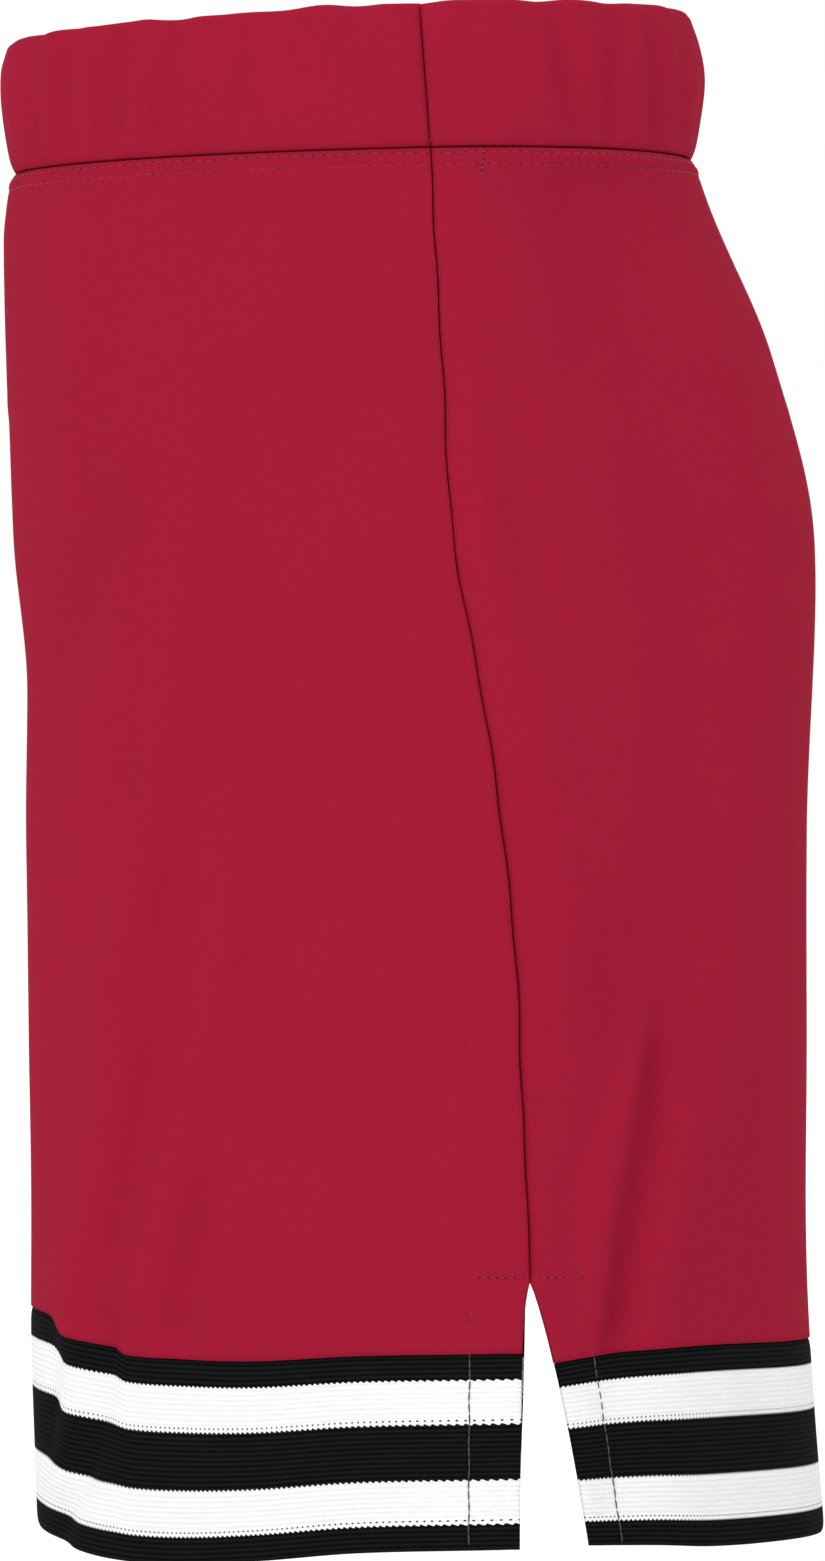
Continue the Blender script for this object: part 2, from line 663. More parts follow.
# Overlocked allowance: threads cross it in close slanted lines.
def makeOverlock(name, colour):
    material, tree, shader = nodeMaterial(name, {"Roughness": 0.85, "Specular IOR Level": 0.2})
    loops = useGroup(tree, loopGroup, {"Wale": 2.6, "Course": 1.5, "Slant": 0.9})
    fuzz = useGroup(tree, fuzzGroup, {"Blotch": 60.0, "Grain": 1500.0})
    tone = times(tree, loops.outputs["Height"], plus(tree, fuzz.outputs["Fuzz"], 0.5))
    tree.links.new(mixColour(tree, tone, shaded(colour, 0.45), colour), shader.inputs["Base Color"])
    bumpNormal(tree, shader, [(loops.outputs["Height"], 0.8, 0.0006)])
    return material


braidLook = {"light": (0.8, 0.79, 0.75, 1), "dark": (0.55, 0.54, 0.5, 1), "pitch": 0.0016}


def makeElastic(name, look):
    material, tree, shader = nodeMaterial(name, {"Roughness": 0.8})
    parts = tree.nodes.new("ShaderNodeSeparateXYZ")
    inObject = tree.nodes.new("ShaderNodeTexCoord").outputs["Object"]
    tree.links.new(inObject, parts.inputs[0])
    braid = mathNode(tree, "SINE", times(tree, parts.outputs[2], 2 * math.pi / look["pitch"]))
    fuzz = useGroup(tree, fuzzGroup, {"Blotch": 40.0, "Grain": 1200.0})
    tone = times(tree, plus(tree, times(tree, braid, 0.3), 0.7), fuzz.outputs["Fuzz"])
    tree.links.new(mixColour(tree, tone, look["dark"], look["light"]), shader.inputs["Base Color"])
    bumpNormal(tree, shader, [(braid, 0.6, 0.0004)])
    return material


satinLook = {"light": (0.84, 0.84, 0.82, 1), "dark": (0.62, 0.62, 0.6, 1)}


def makeSatin(name, look):
    material, tree, shader = nodeMaterial(name, {"Roughness": 0.45, "Specular IOR Level": 0.5})
    loops = useGroup(tree, loopGroup, {"Wale": 0.5, "Course": 0.9, "Slant": 0.0})
    sheen = mixColour(tree, loops.outputs["Shade"], look["dark"], look["light"])
    tree.links.new(sheen, shader.inputs["Base Color"])
    bumpNormal(tree, shader, [(loops.outputs["Height"], 0.3, 0.0002)])
    return material


redKnit = makeRedKnit("redKnit", redLook)
bandKnit = makeRedKnit("bandKnit", {**redLook, "wale": 0.9, "course": 0.7})
stripedRib = makeStripedRib("stripedRib", ribLook)
redThread = makeThread("redThread", (0.36, 0.0095, 0.034, 1))
darkPinhole = makeThread("pinhole", (0.085, 0.002, 0.007, 1), 0.95)
blackThread = makeThread("blackThread", (0.075, 0.075, 0.08, 1))
overlock = makeOverlock("overlock", (0.33, 0.012, 0.035, 1))
elasticBraid = makeElastic("elasticBraid", braidLook)
labelSatin = makeSatin("labelSatin", satinLook)
print("materials made")

# Columns and rows of the cloth: closer together at a seam and where it is stitched.
weave = {
    "step": 2.4, "reference": 250.0, "nearSeam": [0, 0.35, 0.8, 1.4, 2.2, 3.2, 4.6],
    "nearWaist": [0, 0.4, 0.9, 1.5, 2.1, 2.8, 3.6, 4.3, 5.0, 5.7, 6.6, 8, 10], "lowerRows": 104,
}


def clothColumns(side):
    turns = np.linspace(0, 2, 1201)
    length = lengthAlong(bareFace(side, turns, np.full_like(turns, weave["reference"])))
    near = np.array(weave["nearSeam"], float)
    edgeLength = np.interp(1.0, turns, length)
    first, last = near[-1], length[-1] - near[-1]
    outerPart = np.linspace(first, edgeLength, int((edgeLength - first) / weave["step"]) + 2)
    innerPart = np.linspace(edgeLength, last, int((last - edgeLength) / weave["step"]) + 2)
    lengths = np.concatenate([near[:-1], outerPart, innerPart[1:], (length[-1] - near[:-1])[::-1]])
    columns = np.interp(lengths, length, turns)
    columns[0], columns[-1] = 0, 2
    edgeIndex = len(near) - 1 + len(outerPart) - 1
    columns[edgeIndex] = 1
    return columns, lengths, edgeIndex


columnsOf = {side: clothColumns(side) for side in (front, back)}
upperSteps = np.concatenate([weave["nearWaist"], np.linspace(12.5, 64, 22)])
upperShares = upperSteps / upperSteps[-1]
lowerShares = np.concatenate([np.linspace(0, 0.985, weave["lowerRows"]), [0.993, 1.0]])

coverstitch = {
    "rows": [1.5, 4.8], "pitch": 3.17, "width": 0.42, "dimple": 0.28, "welt": 0.25,
    "dimpleReach": 0.55, "weltAt": 3.1, "weltReach": 1.6, "lift": 0.12, "pinhole": 0.36,
}


# The body panel from the waist seam to the cuff, with its thread lines sunk in and its vent edge turned.
def panelGrid(side, spread):
    columns, lengths, edgeIndex = columnsOf[side]
    waistRows = len(upperShares) - 1
    turn = np.repeat(columns[:, None], waistRows + len(lowerShares), axis=1)
    drop = np.zeros_like(turn)
    bandX = bareFace(side, np.minimum(columns, 1), np.full_like(columns, cut["bandHeight"]))[:, 0]
    waist = waistSeam(bandX) + cut["seamGap"]
    rise = np.where(columns > 1, riseDrop(np.sin(columns * math.pi / 2)), cut["riseStart"])
    drop[:, :waistRows + 1] = waist[:, None] + (rise - waist)[:, None] * upperShares
    bottom = lineAt(cuffLines, side, columns, np.full_like(columns, cut["cuffTop"]))
    drop[:, waistRows:] = rise[:, None] + (bottom - rise)[:, None] * lowerShares
    atSeam = turnAt(side, cut["seamGap"] / 2, drop)
    atInseam = turnAt(side, cut["seamGap"] / 2, drop, True)
    inset = insetTurn(side, turn, drop, spread)
    placed = np.where(drop > cut["ventTop"], inset, np.clip(turn, atSeam, atInseam))
    here = np.ones((len(columns) - 1, drop.shape[1] - 1), bool)
    here[edgeIndex:, :waistRows] = False
    return placed, drop, uvGrid(lengths[:, None], drop), here


def stitchedHeight(side, turn, drop):
    x = bareFace(side, np.minimum(turn, 1), np.full_like(turn, cut["bandHeight"]))[..., 0]
    below = drop - waistSeam(x)
    height = -drape["waistGroove"] * np.exp(-below / drape["waistReach"])
    fromWelt = (below - coverstitch["weltAt"]) / coverstitch["weltReach"]
    height += coverstitch["welt"] * np.exp(-(fromWelt**2))
    for row in coverstitch["rows"]:
        height -= coverstitch["dimple"] * np.exp(-(((below - row) / coverstitch["dimpleReach"]) ** 2))
    return np.where(turn <= 1.001, height, 0)


# The turned edge of a vent: a soft rounded fold, with a shallow dip where it is stitched down.
turnedEdge = {
    "margin": {front: (14.6, 14.0), back: (11.8, 8.8)},  # at the vent's top and at the hem
    "round": 0.9, "roundReach": 0.7, "dip": 0.3, "dipReach": 0.8, "runIn": 4,
}


def ventMargin(side, drop):
    top, bottom = turnedEdge["margin"][side]
    return top + (bottom - top) * np.clip((drop - cut["ventTop"]) / (cut["hem"] - cut["ventTop"]), 0, 1)


def ventHeight(side, turn, drop, spread=1.0):
    x = bareFace(side, turn, drop)[..., 0]
    fromSide = np.abs(x - sideLine(drop)) - flapInset(side, drop, False, spread)
    fromInseam = np.abs(x - inseamLine(drop)) - flapInset(side, drop, True)
    away = np.where(turn <= 1, fromSide, fromInseam)
    opened = np.clip((drop - cut["ventTop"]) / turnedEdge["runIn"], 0, 1)
    height = -turnedEdge["round"] * np.exp(-np.maximum(away, 0) / turnedEdge["roundReach"])
    height -= turnedEdge["dip"] * np.exp(-(((away - ventMargin(side, drop)) / turnedEdge["dipReach"]) ** 2))
    return height * opened


def halfPieces():
    for hand, mirror in (("left", False), ("right", True)):
        for label, side in (("front", front), ("back", back)):
            yield hand, mirror, label, side


def joinAcrossHip(piece):
    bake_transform(piece)


for hand, mirror, label, side in halfPieces():
    turn, drop, uv, here = panelGrid(side, ventSpread[hand])
    lift = stitchedHeight(side, turn, drop) + ventHeight(side, turn, drop, ventSpread[hand])
    outer = clothPoint(side, turn, drop, lift)
    inner = clothPoint(side, turn, drop, lift - cut["cloth"])
    panel = makeSheet(
        f"{hand}_{label}_panel", onHand(outer, mirror), onHand(inner, mirror), uv, redKnit,
        (side == back) != mirror, here,
    )
    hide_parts(f"{hand}_{label}_hip_panel", f"{hand}_{label}_leg_panel")
    joinAcrossHip(panel)
print("body panels made")


cuff = {
    "rows": 34, "topRows": [0, 0.008, 0.02, 0.04], "footRows": [0.965, 0.982, 0.993, 1.0], "gap": 0.15,
    "roll": 0.8, "rollReach": 1.1, "innerShare": 0.3,
}


# Needles counted from the side seam: the rib is stretched where it nears a vent on the front.
def needleCount(side, lengths):
    away = np.minimum(lengths, lengths[-1] - lengths)
    stretched = ribLook["stretched"] if side == front else 0
    pitch = ribLook["needle"] + stretched * np.exp(-((away / ribLook["stretchReach"]) ** 2))
    return np.concatenate([[0], np.cumsum(np.diff(lengths) * 0.5 * (1 / pitch[1:] + 1 / pitch[:-1]))])


def cuffGrid(side, spread):
    columns, lengths, _ = columnsOf[side]
    shares = np.concatenate([cuff["topRows"], np.linspace(0.065, 0.94, cuff["rows"]), cuff["footRows"]])
    turn = np.repeat(columns[:, None], len(shares), axis=1)
    top = lineAt(cuffLines, side, columns, np.full_like(columns, cut["cuffTop"])) + cuff["gap"]
    bottom = lineAt(hemLines, side, columns, np.full_like(columns, cut["hem"]))
    drop = top[:, None] + (bottom - top)[:, None] * shares
    uv = uvGrid(needleCount(side, lengths)[:, None], shares * ribLook["cuffHeight"])
    rolled = sum(np.exp(-np.abs(drop - end[:, None]) / cuff["rollReach"]) for end in (top, bottom))
    return insetTurn(side, turn, drop, spread), drop, uv, -cuff["roll"] * rolled


for hand, mirror, label, side in halfPieces():
    turn, drop, uv, rolled = cuffGrid(side, ventSpread[hand])
    lift = rolled + ventHeight(side, turn, drop, ventSpread[hand])
    outer = clothPoint(side, turn, drop, lift)
    inner = clothPoint(side, turn, drop, lift * cuff["innerShare"] - cut["cloth"])
    piece = makeSheet(
        f"{hand}_{label}_rib_cuff", onHand(outer, mirror), onHand(inner, mirror), uv, stripedRib,
        (side == back) != mirror,
    )
    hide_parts(f"{hand}_{label}_cuff")
    settle(piece, hand + "_leg")
print("cuffs made")


band = {
    "thickness": 7.7, "layer": 1.5, "barrel": 0.6, "pinch": 1.9, "pinchReach": 2.4, "topLean": 0.5,
    "leanReach": 5, "ripple": 0.5, "ripples": 34, "frontRipple": 0.7, "frontRipples": 21,
    "foldStrength": 1.9, "scallop": 0.5,
    "groove": 1.5, "grooveReach": 1.3, "calmReach": 8, "sideGap": 0.03, "columns": 90, "topRise": 0.28,
}


# Round the fold of the band: height off the face, share of the way from the waist edge to the seam, and drop.
def bandProfile():
    half = band["thickness"] / 2
    down = np.concatenate([[0.995, 0.98, 0.95, 0.91, 0.86], np.linspace(0.8, 0.12, 14)])
    outerSide = [(0.0, share, 0.0) for share in down]
    angles = np.linspace(0.12, math.pi - 0.12, 9)
    roundTop = [(half * (math.cos(a) - 1), 0.0, -half * 0.55 * math.sin(a)) for a in angles]
    innerSide = [(-band["thickness"], share, 0.0) for share in down[::-1]]
    return np.array(outerSide + roundTop + innerSide).T


def bandHeight(side, turn, share, drop):
    onBand = np.clip(drop, 0, cut["bandHeight"])
    face = bareFace(side, turn, onBand)
    x, y = face[..., 0], face[..., 1]
    angle = np.arctan2(y, x - (cut["waistBack"] - cut["waistFront"]) / 2)
    nearMiddle = np.clip((25 + y) / 25, 0, 1)
    ripple = band["ripple"] * np.sin(angle * band["ripples"] + 1.5 * np.sin(drop / 13))
    ripple = ripple + band["frontRipple"] * nearMiddle * np.sin(angle * band["frontRipples"] + 0.8)
    gathers = band["foldStrength"] * foldHeight(bandFolds[side], x, drop) + ripple * 0.6
    calm = np.clip((1 - share) / 0.18, 0, 1) * 0.75 + 0.25
    barrel = band["barrel"] * np.sin(np.clip(share, 0, 1) * math.pi) ** 0.7
    pinch = -band["pinch"] * np.exp(-(1 - share) * cut["bandHeight"] / band["pinchReach"])
    lean = -band["topLean"] * np.exp(-share * cut["bandHeight"] / band["leanReach"])
    toSeam = np.abs(x - sideLine(onBand))
    away = np.clip(toSeam / band["calmReach"], 0, 1)
    groove = -band["groove"] * np.exp(-toSeam / band["grooveReach"])
    return gathers * calm * away + barrel + pinch + lean, groove


# The band's own face: its place, the way out of it, and how far gathers and seams move the cloth.
def bandFace(side, turn, share, rises=0.0):
    x = bareFace(side, turn, np.full_like(turn, cut["bandHeight"]))[..., 0]
    scallop = np.sin(x / 6.1 + side) * np.sin(x / 15.0) + 0.4 * np.sin(x / 2.9)
    top = waistEdge(x) + band["thickness"] * band["topRise"] + band["scallop"] * scallop
    drop = top + (waistSeam(x) - top) * share + rises
    face = bareFace(side, turn, np.clip(drop, -cut["waistTilt"] / 2, cut["bandHeight"] * 1.5))
    face[..., 2] = -drop
    normal = faceNormal(side, turn, np.clip(drop, 1, cut["bandHeight"] - 1))
    normal[..., 2] = 0
    normal /= np.linalg.norm(normal, axis=-1, keepdims=True)
    lift, groove = bandHeight(side, turn, share, drop)
    return face, normal, lift, groove


# One strip from side seam to side seam over the middle, folded double over its top edge.
def bandHalf(side):
    middleDrop = cut["bandHeight"] / 2
    turns = np.linspace(0, 1, band["columns"])
    nearSeam = turnAt(side, np.array([band["sideGap"] / 2, 0.7, 1.4, 2.4, 3.6]), middleDrop)
    turns = np.concatenate([nearSeam, turns[turns > 0.05]])
    heights, shares, rises = bandProfile()
    stations = np.concatenate([turns, turns[-2::-1]])
    turn, share = np.meshgrid(stations, shares, indexing="ij")
    face, normal, lift, groove = bandFace(side, turn, share, rises)
    inside = np.minimum(lift * 0.3, 0) - 0.5
    body = np.where(heights > -band["thickness"] / 2, lift, inside)
    outer = face + normal * (heights + body + groove)[..., None]
    outer[len(turns):] *= np.array([1, -1, 1])
    outer[len(turns) - 1, :, 1] = 0
    off = np.cross(np.gradient(outer, axis=0), np.gradient(outer, axis=1))
    off /= np.linalg.norm(off, axis=-1, keepdims=True)
    around = lengthAlong(outer[:, 5])
    down = lengthAlong(outer[len(turns) - 1])
    return outer, outer - off * side * band["layer"], uvGrid(around[:, None], down)


for label, side in (("front", front), ("back", back)):
    outer, inner, uv = bandHalf(side)
    strip = makeSheet(f"waistband_{label}_cloth", outer, inner, uv, bandKnit, side == front)
    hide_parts(f"waistband_{label}")
    settle(strip, "hips")


# Turns all the way round the waist, from the left side seam over the front, as four quarters.
def ringQuarters(count):
    for side, order, mirror in ((front, 1, False), (front, -1, True), (back, 1, True), (back, -1, False)):
        turns = np.linspace(0, 1, count)[::order]
        first = 0 if side == front and not mirror else 1
        last = count - 1 if side == back and not mirror else count
        yield side, turns[first:last], mirror


elastic = {
    "top": 0.16, "foot": 0.84, "rows": 9, "columns": 90, "thickness": 1.2, "depth": 4.1, "follow": 0.65,
}


# The elastic is one ring between the band's two layers, and it takes up part of the gathers.
def elasticRing():
    shares = np.linspace(elastic["top"], elastic["foot"], elastic["rows"])
    grids = [], []
    for side, turns, mirror in ringQuarters(elastic["columns"]):
        turn, share = np.meshgrid(turns, shares, indexing="ij")
        face, normal, lift, groove = bandFace(side, turn, share)
        middle = elastic["follow"] * lift + groove - elastic["depth"]
        for grid, height in zip(grids, (elastic["thickness"] / 2, -elastic["thickness"] / 2)):
            points = face + normal * (middle + height)[..., None]
            points[turns > onMiddle, :, 1] = 0
            grid.append(onHand(points, mirror))
    outer, inner = (np.concatenate(grid) for grid in grids)
    uv = outer[..., [0, 2]]
    return makeSheet("waist_elastic_braid", outer, inner, uv, elasticBraid, False, ring=True)


braid = elasticRing()
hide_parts("waist_elastic")
settle(braid, "hips")
print("waistband made")


# A closed tube through loops of points, in the mesh lists of a row of stitches.
def addTube(points, faces, index, loops, material):
    sides, rings = len(loops[0]), len(loops)
    base = len(points) * sides
    for r in range(rings - 1):
        for s in range(sides):
            p, q = base + r * sides + s, base + r * sides + (s + 1) % sides
            faces.append((p, p + sides, q + sides, q))
    faces.append(tuple(base + s for s in range(sides)))
    faces.append(tuple(base + (rings - 1) * sides + s for s in reversed(range(sides))))
    points.extend(loops)
    index.extend([material] * ((rings - 1) * sides + 2))


# Short stitches that lie on the cloth and dive in at each end, with a pinhole where they dive.
def stitchRow(name, starts, ends, normals, width, lift, materials, holes=True, sink=1.2):
    rings, sides = 7, 6
    angles = 2 * math.pi * np.arange(sides)[:, None] / sides
    points, faces, index = [], [], []
    for a, b, n in zip(starts, ends, normals):
        length = np.linalg.norm(b - a)
        along = (b - a) / length
        across = np.cross(n, along)
        loops = []
        for t in np.linspace(0, 1, rings):
            arc = math.sin(math.pi * t)
            radius = width / 2 * (0.45 + 0.55 * arc**0.5)
            centre = a + along * length * t + n * (lift * ((1 + sink) * arc**0.6 - sink))
            loops.append(centre + radius * (across * np.cos(angles) + n * 0.7 * np.sin(angles)))
        addTube(points, faces, index, loops, 0)
        if holes:
            centre = a - along * width * 0.4
            dent = coverstitch["pinhole"] * (across * np.cos(angles) + along * np.sin(angles))
            addTube(points, faces, index, [centre + dent * 0.6 + n * 0.06, centre + dent + n * 0.02], 1)
    return makeMesh(name, np.concatenate(points), faces, materials, materialIndex=index)


def resampled(values, length, at):
    return np.stack([np.interp(at, length, values[:, k]) for k in range(values.shape[1])], 1)


def stitchAlong(name, line, normals, pitch, width, lift, materials, gap=0.16, holes=True, sink=1.2):
    length = lengthAlong(line)
    marks = np.linspace(0, length[-1], max(int(length[-1] / pitch), 1) + 1)
    starts = resampled(line, length, marks[:-1] + pitch * gap)
    ends = resampled(line, length, marks[1:])
    directions = resampled(normals, length, (marks[:-1] + marks[1:]) / 2)
    directions /= np.linalg.norm(directions, axis=1, keepdims=True)
    return stitchRow(name, starts, ends, directions, width, lift, materials, holes, sink)


def waistLine(below):
    line, normals = [], []
    for side, order, mirror in ((front, 1, False), (front, -1, True), (back, 1, True), (back, -1, False)):
        turns = np.linspace(0.004, 1, 160)[::order]
        x = bareFace(side, turns, np.full_like(turns, cut["bandHeight"]))[:, 0]
        wobble = 0.12 * np.sin(x / 5.0) + 0.1 * np.sin(x / 1.9 + side)
        drop = waistSeam(x) + below + wobble
        line.append(onHand(clothPoint(side, turns, drop, stitchedHeight(side, turns, drop)), mirror))
        normals.append(onHand(faceNormal(side, turns, drop), mirror))
    return np.concatenate(line), np.concatenate(normals)


for label, row in zip(("upper", "lower"), coverstitch["rows"]):
    line, normals = waistLine(row)
    thread = stitchAlong(
        f"waist_stitching_{label}", line, normals, coverstitch["pitch"], coverstitch["width"],
        coverstitch["lift"], [redThread, darkPinhole],
    )
    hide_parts(f"waist_coverstitch_{label}")
    settle(thread, "hips")

ventThread = {
    "pitch": 3.0, "width": 0.42, "lift": 0.22, "sink": 0.1, "wobble": 0.12, "fromHem": 3.5,
    "aboveWidth": 0.34, "aboveLift": 0.12, "fromTop": 3,
}


def ventLine(side, onInseam, above, spread):
    middle = cut["cuffTop"] + 0.5
    drop = np.linspace(middle, cut["hem"] - ventThread["fromHem"], 70)
    if above:
        drop = np.linspace(cut["ventTop"] + ventThread["fromTop"], middle, 30)
    distance = flapInset(side, drop, onInseam, spread) + ventMargin(side, drop)
    turn = turnAt(side, distance + ventThread["wobble"] * np.sin(drop / 1.9), drop, onInseam)
    points = clothPoint(side, turn, drop, ventHeight(side, turn, drop, spread))
    return points, faceNormal(side, turn, drop)


for hand, mirror, label, side in halfPieces():
    for where, onInseam in (("side", False), ("inner", True)):
        line, normals = ventLine(side, onInseam, False, ventSpread[hand])
        thread = stitchAlong(
            f"{hand}_{label}_{where}_vent_thread", onHand(line, mirror), onHand(normals, mirror),
            ventThread["pitch"], ventThread["width"], ventThread["lift"], [blackThread],
            gap=0.0, holes=False, sink=ventThread["sink"],
        )
        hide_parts(f"{hand}_{label}_{where}_vent_stitching")
        settle(thread, hand + "_leg")
        line, normals = ventLine(side, onInseam, True, ventSpread[hand])
        thread = stitchAlong(
            f"{hand}_{label}_{where}_vent_thread_above", onHand(line, mirror), onHand(normals, mirror),
            ventThread["pitch"], ventThread["aboveWidth"], ventThread["aboveLift"], [redThread], holes=False,
        )
        settle(thread, hand + "_leg")

bar = {
    "pitch": 2.4, "reach": 14, "rise": 1.6, "width": 0.34, "lift": 0.12, "hook": (0.3, 2.2), "fromSeam": 0.3,
}


# The bar across the top of a vent, with a short hook at its back end.
def barLine(onInseam):
    points, normals = [], []
    across = np.linspace(bar["fromSeam"], bar["reach"], 30)
    hook = np.linspace(*bar["hook"], 6)
    for side, distance, above in (
        (front, across[::-1], 0 * across), (back, across, 0 * across), (back, bar["reach"] + 0 * hook, hook),
    ):
        drop = cut["ventTop"] - bar["rise"] - above
        turn = turnAt(side, distance, drop, onInseam)
        points.append(clothPoint(side, turn, drop))
        normals.append(faceNormal(side, turn, drop))
    return np.concatenate(points), np.concatenate(normals)


for hand, mirror in (("left", False), ("right", True)):
    for where, onInseam in (("side", False), ("inner", True)):
        line, normals = barLine(onInseam)
        thread = stitchAlong(
            f"{hand}_{where}_vent_bar", onHand(line, mirror), onHand(normals, mirror), bar["pitch"],
            bar["width"], bar["lift"], [redThread, darkPinhole],
        )
        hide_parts(f"{hand}_{where}_vent_bar_stitch")
        settle(thread, hand + "_leg")

# Where the waist stitching starts and ends, a short upright run of stitches locks it.
lock = {"x": 20.5, "top": 0.4, "foot": 8.2, "slant": 0.002, "pitch": 1.6, "width": 0.5, "lift": 0.15}


def lockStitches():
    below = np.linspace(lock["top"], lock["foot"], 20)
    away = np.full_like(below, lock["x"] - cut["sideAtWaist"] - 1)
    turn = turnAt(back, away, cut["bandHeight"] + below)
    drop = waistSeam(lock["x"]) + below
    slanted = turn - lock["slant"] * (below - 4)
    line = clothPoint(back, slanted, drop, stitchedHeight(back, turn, drop))
    return stitchAlong(
        "waist_stitching_lock", line, faceNormal(back, turn, drop), lock["pitch"], lock["width"],
        lock["lift"], [redThread, darkPinhole],
    )


settle(lockStitches(), "hips")
print("thread made")


allowance = {
    "reach": 4.0, "thickness": 1.0, "below": 0.55, "wave": 0.04, "sideTop": 41, "sideRows": 152,
    "inseamTop": 4, "inseamRows": 90, "aboveVent": 1, "cuffReach": 4, "waist": (-2.6, 7.6),
}


# Both faces of an allowance just inside the cloth.
def insideFaces(side, turn, drop, lift=0.0):
    base = lift - cut["cloth"] - allowance["below"]
    return [clothPoint(side, turn, drop, base - depth) for depth in (0, allowance["thickness"])]


# An overlocked allowance that lies flat inside, across a seam, its edges slightly wavy.
def seamAllowance(name, drops, onInseam, mirror):
    across = np.linspace(-1, 1, 9)
    wave = 1 + allowance["wave"] * np.sin(drops * 2.1)
    columns = []
    for a in across:
        side = front if a > 0 else back
        turn = turnAt(side, np.abs(a) * allowance["reach"] * wave, drops, onInseam)
        columns.append(insideFaces(side, turn, drops))
    outer, inner = (onHand(np.stack(face), mirror) for face in zip(*columns))
    uv = uvGrid((across * allowance["reach"])[:, None], drops)
    return makeSheet(name, outer, inner, uv, overlock, mirror != onInseam)


for hand, mirror in (("left", False), ("right", True)):
    foot = cut["ventTop"] - allowance["aboveVent"]
    drops = np.linspace(allowance["sideTop"], foot, allowance["sideRows"])
    piece = seamAllowance(f"{hand}_side_seam_allowance", drops, False, mirror)
    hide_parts(f"{hand}_hip_side_seam", f"{hand}_leg_side_seam")
    joinAcrossHip(piece)
    drops = np.linspace(cut["crotch"] + allowance["inseamTop"], foot, allowance["inseamRows"])
    piece = seamAllowance(f"{hand}_inseam_allowance", drops, True, mirror)
    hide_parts(f"{hand}_inseam")
    joinAcrossHip(piece)


# The cuff's join, an overlocked band just inside.
def cuffAllowance(side, mirror, name, spread):
    columns, lengths, _ = columnsOf[side]
    keep = slice(2, len(columns) - 2, 2)
    columns, lengths = columns[keep], lengths[keep]
    line = lineAt(cuffLines, side, columns, np.full_like(columns, cut["cuffTop"]))
    rows = np.linspace(-allowance["cuffReach"], allowance["cuffReach"], 7)
    drop = line[:, None] + rows
    turn = insetTurn(side, np.broadcast_to(columns[:, None], drop.shape), drop, spread)
    outer, inner = (onHand(face, mirror) for face in insideFaces(side, turn, drop))
    return makeSheet(name, outer, inner, uvGrid(rows, lengths[:, None]), overlock, (side == back) != mirror)


for hand, mirror, label, side in halfPieces():
    piece = cuffAllowance(side, mirror, f"{hand}_{label}_cuff_allowance", ventSpread[hand])
    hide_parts(f"{hand}_{label}_cuff_seam")
    settle(piece, hand + "_leg")


# The waist allowance, a band all round under the stitching, its sewn edge just inside the waistband.
def waistAllowance():
    rows = np.linspace(*allowance["waist"], 9)
    grids = [], []
    for side, turns, mirror in ringQuarters(60):
        x = bareFace(side, turns, np.full_like(turns, cut["bandHeight"]))[:, 0]
        drop = waistSeam(x)[:, None] + rows
        sewn = waistSeam(x)[:, None] + np.maximum(rows, 0)
        turn = np.broadcast_to(turns[:, None], drop.shape)
        for grid, face in zip(grids, insideFaces(side, turn, drop, stitchedHeight(side, turn, sewn))):
            face[turns > onMiddle, :, 1] = 0
            grid.append(onHand(face, mirror))
    outer, inner = (np.concatenate(grid) for grid in grids)
    around = np.arange(len(outer)) * weave["step"]
    uv = uvGrid(rows, around[:, None])
    return makeSheet("waist_seam_allowance", outer, inner, uv, overlock, False, ring=True)


piece = waistAllowance()
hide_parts("waist_seam")
settle(piece, "hips")

rise = {
    "above": 3.4, "overEdge": 0.9, "reach": 4.0, "start": 3.0, "wave": 0.12, "upperRows": 34, "lowerRows": 60,
}


# The rise seam's allowance: down the middle, then under along the curve to the crotch.
def riseAllowance(name, side):
    edge = edgeLines[side]
    top = float(waistSeam(edge(cut["bandHeight"]))) + rise["start"]
    upper = np.linspace(top, cut["riseStart"], rise["upperRows"])
    share = np.sin(np.linspace(1, 2, rise["lowerRows"])[1:] * math.pi / 2)
    lower = riseDrop(share)
    drops = np.concatenate([upper, lower])
    x = np.concatenate([edge(upper), inseamLine(lower) + (edge(lower) - inseamLine(lower)) * share])
    x[-1] += side * cut["seamGap"] / 2
    along = np.stack([np.gradient(x), -np.gradient(drops)], 1)
    along /= np.linalg.norm(along, axis=1, keepdims=True)
    inX, inZ = along[:, 1] * side, -along[:, 0] * side
    across = np.linspace(-1, 1, 9)[:, None]
    away = np.maximum(rise["overEdge"], rise["above"] - np.abs(edge(drops) - x))
    away = away + rise["wave"] * np.sin(drops / 2.3) * across
    y = across * rise["reach"] + 0 * away
    outer, inner = (
        np.stack([x + inX * (away + depth), y, inZ * (away + depth) - drops], -1)
        for depth in (0, allowance["thickness"])
    )
    uv = uvGrid(y, lengthAlong(np.stack([x, drops], 1)))
    return makeSheet(name, outer, inner, uv, overlock, side == back)


for label, side in (("front", front), ("back", back)):
    piece = riseAllowance(f"{label}_rise_allowance", side)
    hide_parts(f"{label}_rise_seam")
    settle(piece, "hips")

tag = {
    "width": 28.0, "length": 33.0, "thickness": 0.35, "depth": 4.3, "curl": 3.5, "corner": 1.2,
    "aboveSeam": 1,
}


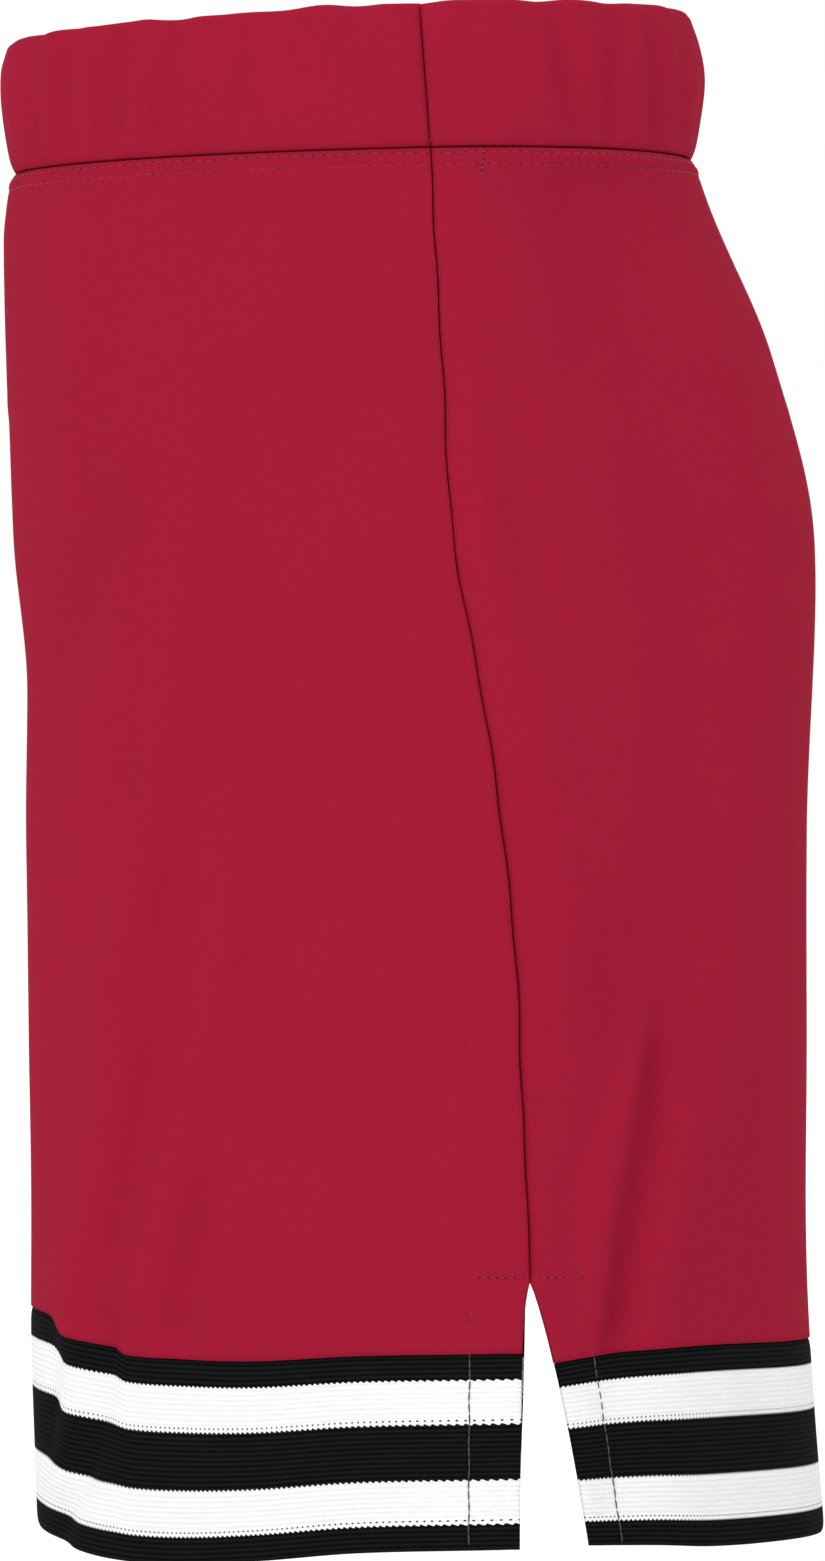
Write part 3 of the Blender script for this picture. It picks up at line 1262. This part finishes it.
# The blank care label hangs from the waist seam at the back and curls away from the cloth.
def makeTag():
    across, down = np.meshgrid(np.linspace(-1, 1, 17), np.linspace(0, 1, 21), indexing="ij")
    turn = 1 - np.abs(across) * tag["width"] / 2 / cut["waistHalf"] / (math.pi / 2)
    drop = cut["bandHeight"] - tag["aboveSeam"] + tag["length"] * down
    face, normal = bareFace(back, turn, drop), faceNormal(back, turn, drop)
    for one in (face, normal):
        one[..., 1] = np.sign(across) * np.abs(one[..., 1])
    lift = tag["depth"] + tag["curl"] * down**2 + tag["corner"] * (across * down) ** 2
    outer, inner = (face - normal * (lift + depth)[..., None] for depth in (0, tag["thickness"]))
    uv = uvGrid(across * tag["width"] / 2, down * tag["length"])
    return makeSheet("blank_care_label", outer, inner, uv, labelSatin, False)


careLabel = makeTag()
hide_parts("care_label")
settle(careLabel, "hips")

for hand in ("left", "right"):
    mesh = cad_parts[f"{hand}_waistband_seam"].data
    mesh.materials.clear()
    mesh.materials.append(overlock)

# What each cloth was cut to, in metres: (width, length), and the area where the cut isn't a rectangle.
for hand, mirror, label, side in halfPieces():
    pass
print("inside made")


stage = {
    "floor": cadBox[0][2] - 0.03, "radius": 9.0, "sides": 64,
    "light": (0.96, 0.96, 0.96, 1), "dark": (0.93, 0.93, 0.93, 1),
}


def makeFloor():
    angles = np.linspace(0, 2 * math.pi, stage["sides"], endpoint=False)
    circle = stage["radius"] * np.stack([np.cos(angles), np.sin(angles), 0 * angles], 1)
    material, tree, shader = nodeMaterial("paleFloor", {"Roughness": 0.9, "Specular IOR Level": 0.0})
    noise = tree.nodes.new("ShaderNodeTexNoise")
    noise.inputs["Scale"].default_value = 3.0
    paint = mixColour(tree, noise.outputs["Fac"], stage["dark"], stage["light"])
    tree.links.new(paint, shader.inputs["Base Color"])
    # seen from below, the floor lets the eye through
    face = tree.nodes.new("ShaderNodeNewGeometry")
    tree.links.new(minus(tree, 1.0, face.outputs["Backfacing"]), shader.inputs["Alpha"])
    points = (circle + np.array([0, 0, stage["floor"]])) / mm
    makeMesh("pale_floor", points, [tuple(range(stage["sides"]))], [material])


light = {
    "world": 0.88, "backdrop": 1.0,
    "suns": [
        ("keySun", (-0.5, -0.8, 0.42), 1.15, 35),
        ("fillSun", (0.75, -0.6, 0.3), 0.25, 60),
        ("topSun", (0.1, 0.2, 1.0), 0.75, 60),
    ],
}


def addSun(name, direction, power, softness):
    data = bpy.data.lights.new(name, "SUN")
    data.energy = power
    data.angle = math.radians(softness)
    sun = bpy.data.objects.new(name, data)
    bpy.context.scene.collection.objects.link(sun)
    sun.location = Vector(direction) * 2
    sun.rotation_euler = (-Vector(direction)).to_track_quat("-Z", "Y").to_euler()


makeFloor()
for name, direction, power, softness in light["suns"]:
    addSun(name, direction, power, softness)


def makeRoom():
    world = bpy.data.worlds.new("paleRoom")
    world.use_nodes = True
    tree = world.node_tree
    background = tree.nodes["Background"]
    background.inputs["Color"].default_value = (1, 1, 1, 1)
    path = tree.nodes.new("ShaderNodeLightPath")
    seen = times(tree, path.outputs["Is Camera Ray"], light["backdrop"] - light["world"])
    tree.links.new(plus(tree, seen, light["world"]), background.inputs["Strength"])
    bpy.context.scene.world = world
    bpy.context.scene.view_settings.view_transform = "Standard"


makeRoom()

view = {"distance": 2.5, "aside": 0.0336, "frameHeight": 0.4462, "height": -0.215, "sensor": 24}
cameraData = bpy.data.cameras.new("studioCamera")
cameraData.sensor_fit = "VERTICAL"
cameraData.sensor_height = view["sensor"]
cameraData.sensor_width = view["sensor"]
cameraData.lens = view["sensor"] * view["distance"] / view["frameHeight"]
cameraData.clip_end = 20
camera = bpy.data.objects.new("studioCamera", cameraData)
bpy.context.scene.collection.objects.link(camera)
camera.location = (view["aside"], -view["distance"], view["height"])
toCentre = Vector((0, 0, view["height"])) - camera.location
camera.rotation_euler = toCentre.to_track_quat("-Z", "Y").to_euler()
bpy.context.scene.camera = camera

print("size written")
